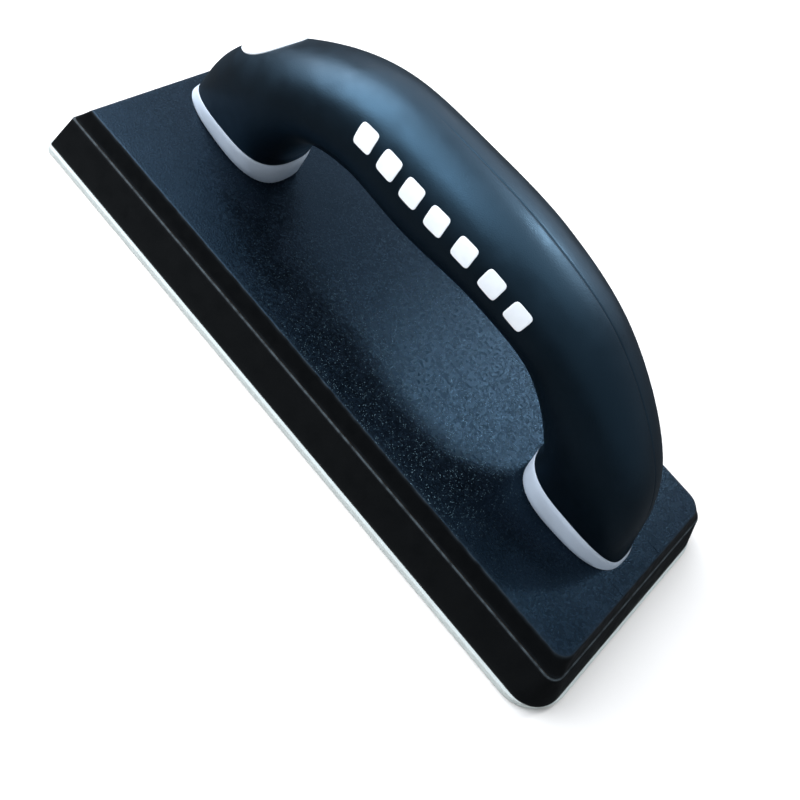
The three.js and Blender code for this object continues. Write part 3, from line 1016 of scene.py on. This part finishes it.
def makeTiles():
    sizes = tileSizes
    tiles = []
    for k in range(sizes["count"]):
        w = k / (sizes["count"] - 1)
        share = sizes["firstShare"] + (sizes["lastShare"] - sizes["firstShare"]) * w
        turn = -math.radians(sizes["firstTurn"] + (sizes["lastTurn"] - sizes["firstTurn"]) * w)
        before, here, after = (gripPoint(share + step, turn) for step in (-0.004, 0, 0.004))
        along = (after - before).normalized()
        across = gripPoint(share, turn + 0.02) - here
        across = (across - along * across.dot(along)).normalized()
        if along.cross(across).y > 0:
            across = -across
        square = roundedSquare(sizes["halfSide"], sizes["cornerPower"])
        tiles.append(surfacePatch(
            f"printedTile{k + 1}", here, along, across, square, sizes["proud"], sizes["sunk"],
            sizes["edgeRound"], finishes["print"], 64, 6,
        ))
    for tile in tiles:
        handOver(tile, "inlay_plastic")
    return tiles


coreSizes = {
    "coreInset": 2.7 * mm,  # cover and gap
    "wall": 2.6 * mm,
    "footFloor": 7 * mm,
    "webPlaces": (0.3, 0.5, 0.7),
    "webThickness": 5 * mm,
    "pilotRadius": 2.4 * mm,
    "bossWall": 2.2 * mm,
    "pilotSpare": 1.5 * mm,
    "pegRadius": 1.5 * mm,
    "pegReach": 4 * mm,
    "pegGap": 0.3 * mm,
    "edgeRound": 0.3 * mm,
    "halfGap": 0.015 * mm,  # from the middle plane
    "footGap": 0.02 * mm,
}


def archLength():
    points = centreLine(np.linspace(0, 1, 400))
    return np.linalg.norm(np.diff(points, axis=0), axis=1).sum()


def coreHollows():
    sizes = coreSizes
    halfWeb = sizes["webThickness"] / 2 / archLength()
    floorZ = plateTopZ + sizes["footFloor"]
    starts = [shareAtHeight(floorZ, False)] + [place + halfWeb for place in sizes["webPlaces"]]
    ends = [place - halfWeb for place in sizes["webPlaces"]] + [shareAtHeight(floorZ, True)]
    angles = np.linspace(0, 2 * math.pi, 48, endpoint=False)
    inset = sizes["coreInset"] + sizes["wall"]
    for start, end in zip(starts, ends):
        yield stackPiece("cutter", list(handleRings(np.linspace(start, end, 24), inset, angles)), None)


def pegAt(place, radius, reach):
    sizes = coreSizes
    centre = centreLine(place)[0]
    turn = np.linspace(0, 2 * math.pi, 32, endpoint=False)
    x, z = centre[0] + radius * np.cos(turn), centre[1] + radius * np.sin(turn)
    ends = (sizes["webThickness"] / 4, -reach)
    return stackPiece("cutter", [np.column_stack([x, np.full(len(turn), y), z]) for y in ends], None)


# rings of half a core, from the toe foot up over the arch and down to the heel foot
def coreRings(side):
    sizes = coreSizes
    angles = side * np.linspace(0, math.pi, 61)
    edge, inset = sizes["edgeRound"], sizes["coreInset"]

    def foot(atHeel):
        footShare = 1.0 if atHeel else 0.0
        bottom = handleRings(footShare, 0.8 * edge, angles)[0]
        bottom[:, 2] = plateTopZ + sizes["footGap"]
        rings, wearAndSheen = [bottom], [0.0]
        top = rimShares(atHeel, 0, -edge, angles)
        for w in (0.06, 0.25, 0.5, 0.75, 1):
            rings.append(handleRings((footShare + (top - footShare) * w)[None, :], 0, angles)[0])
            wearAndSheen.append(0.0)
        for bendInset, lift, wornAndSheen in ((0.3 * edge, -0.3 * edge, 0.6), (edge, 0, 1), (inset, 0, 0)):
            rings.append(rimRing(atHeel, bendInset, lift, angles))
            wearAndSheen.append(wornAndSheen)
        return rings, wearAndSheen

    arch = list(handleRings(sharesBetweenRims(inset, 0, angles, 120), inset, angles))
    toe, heel = foot(False), foot(True)
    rings = toe[0] + arch + heel[0][::-1]
    wearAndSheen = toe[1] + [0.0] * len(arch) + heel[1][::-1]
    for ring in rings:
        ring[:, 1] = np.where(ring[:, 1] * side < sizes["halfGap"], sizes["halfGap"] * side, ring[:, 1])
    return rings, wearAndSheen


def makeCoreHalf(name, side, node):
    sizes = coreSizes
    rings, wearAndSheen = coreRings(side)
    piece = stackPiece(name, rings, finishes["core"], 40, wearAndSheen)
    hollows = list(coreHollows())
    for hollow in hollows:
        low = min(v.co.x for v in hollow.data.vertices)
        high = max(v.co.x for v in hollow.data.vertices)
        for x, y, tipZ in screwCentres():
            if low < x < high and y * side > 0:
                top = tipZ + sizes["pilotSpare"] + sizes["bossWall"]
                cut(hollow, post(x, y, plateTopZ, top, sizes["pilotRadius"] + sizes["bossWall"]))
        cut(piece, hollow)
    for x, y, tipZ in screwCentres():
        if y * side > 0:
            cut(piece, post(x, y, plateTopZ - mm, tipZ + sizes["pilotSpare"], sizes["pilotRadius"]))
    for place in sizes["webPlaces"]:
        radius, reach = sizes["pegRadius"], sizes["pegReach"]
        if side > 0:
            cut(piece, pegAt(place, radius, reach), "UNION")
        else:
            cut(piece, pegAt(place, radius + sizes["pegGap"], reach + sizes["pegGap"]))
    smooth(piece.data, 40)
    return handOver(piece, "core_plastic", node)


makeFace()
makePad()
makePlate()
print("sole, pad and plate built")
makeCoreHalf("handleCoreLeft", 1, "handle_core_left")
makeCoreHalf("handleCoreRight", -1, "handle_core_right")
print("core halves built")
grip = makeGrip()
cut(grip, inlayCutter())
smooth(grip.data, 40)
handOver(grip, "grip_rubber", "grip_cover")
makeInlay()
makeTiles()
print("grip, inlay and printed tiles built")

for nodeName, finishName in (
    ("lower_adhesive", "adhesive"), ("upper_adhesive", "adhesive"),
    ("screw_toe_left", "steel"), ("screw_toe_right", "steel"),
    ("screw_heel_left", "steel"), ("screw_heel_right", "steel"),
):
    cadNodes[nodeName].material_slots[0].material = finishes[finishName]


floorLook = {
    "color": (0.84, 0.79, 0.74),
    "roughness": 0.8,
    "smoothest": 0.75,
    "roughest": 0.88,
    "specular": 0.2,
}
stageSizes = {
    "floorHalf": 3.0,
    "floorDrop": 0.05 * mm,
    "skyColor": (0.31, 0.35, 0.39),
    "skyStart": 0.25,
    "belowColor": (0.09, 0.10, 0.11),
}


def makeFloor():
    sizes = stageSizes
    half, z = sizes["floorHalf"], -sizes["floorDrop"]
    corners = [(-half, -half, z), (half, -half, z), (half, half, z), (-half, half, z)]
    mesh = bpy.data.meshes.new("floor")
    mesh.from_pydata(corners, [], [(0, 1, 2, 3)])
    floor = bpy.data.objects.new("floor", mesh)
    bpy.context.scene.collection.objects.link(floor)
    material, shader = newFinish("pale_floor", floorLook)
    varyRoughness(material, shader, grain(material, 40, 3), floorLook["smoothest"], floorLook["roughest"])
    mesh.materials.append(material)
    floor.visible_glossy = False


# dim sky above the horizon, darker below it
def makeWorld():
    world = bpy.data.worlds.new("studio")
    bpy.context.scene.world = world
    world.use_nodes = True
    tree = world.node_tree
    split = tree.nodes.new("ShaderNodeSeparateXYZ")
    tree.links.new(tree.nodes.new("ShaderNodeTexCoord").outputs["Generated"], split.inputs[0])
    ramp = tree.nodes.new("ShaderNodeValToRGB")
    low, high = ramp.color_ramp.elements
    low.position, low.color = 0.0, (*stageSizes["belowColor"], 1)
    high.position, high.color = stageSizes["skyStart"], (*stageSizes["skyColor"], 1)
    tree.links.new(split.outputs["Z"], ramp.inputs["Fac"])
    tree.links.new(ramp.outputs["Color"], tree.nodes["Background"].inputs["Color"])


# softboxes round the float; radiance times area sets their strength
lights = {
    "toePanel": {
        "towards": (-0.727, -0.155, 0.669), "distance": 1.0, "size": (1.0, 0.95), "radiance": 7.0,
        "color": (0.90, 0.97, 1.06),
    },
    "farPanel": {
        "towards": (-0.28, 0.77, 0.57), "distance": 1.2, "size": (1.6, 1.0), "radiance": 1.0,
        "color": (0.88, 0.96, 1.08),
    },
    "overheadPanel": {
        "towards": (0.0, 0.1, 0.99), "distance": 0.9, "size": (0.6, 0.6), "radiance": 1.3,
        "color": (0.92, 0.97, 1.04),
    },
    "farKey": {
        "towards": (0.0, 0.634, 0.773), "distance": 1.1, "size": (0.16, 0.12), "radiance": 60,
        "color": (0.95, 0.98, 1.02),
    },
}


def makeLights():
    middle = Vector((0, 0, (faceLow.z + coverTop) / 2))
    for name, setting in lights.items():
        lamp = bpy.data.lights.new(name, "AREA")
        lamp.shape = "RECTANGLE"
        width, height = setting["size"]
        lamp.size, lamp.size_y = width, height
        lamp.energy = setting["radiance"] * math.pi * width * height
        lamp.color = setting["color"]
        towards = Vector(setting["towards"]).normalized()
        holder = bpy.data.objects.new(name, lamp)
        holder.location = middle + towards * setting["distance"]
        holder.rotation_euler = towards.to_track_quat("Z", "Y").to_euler()
        bpy.context.scene.collection.objects.link(holder)


cameraSetting = {
    "aim": (23.2 * mm, -29.0 * mm, 30 * mm),
    "azimuth": 14.284,  # degrees round from the near side towards the heel
    "elevation": 55.496,
    "roll": 37.227,
    "distance": 242.2 * mm,
    "lens": 37.46,
    "sensorWidth": 36,
    "nearest": 0.01,
}


def makeCamera():
    setting = cameraSetting
    azimuth, elevation = math.radians(setting["azimuth"]), math.radians(setting["elevation"])
    level = math.cos(elevation)
    back = Vector((math.sin(azimuth) * level, -math.cos(azimuth) * level, math.sin(elevation)))
    data = bpy.data.cameras.new("camera")
    data.lens = setting["lens"]
    data.sensor_width = setting["sensorWidth"]
    data.clip_start = setting["nearest"]
    camera = bpy.data.objects.new("camera", data)
    roll = Matrix.Rotation(math.radians(setting["roll"]), 4, "Z")
    place = Matrix.Translation(Vector(setting["aim"]) + back * setting["distance"])
    camera.matrix_world = place @ back.to_track_quat("Z", "Y").to_matrix().to_4x4() @ roll
    bpy.context.scene.collection.objects.link(camera)
    bpy.context.scene.camera = camera


makeFloor()
makeWorld()
makeLights()
makeCamera()
bpy.context.scene.view_settings.view_transform = "Standard"
print("floor, light and camera placed")
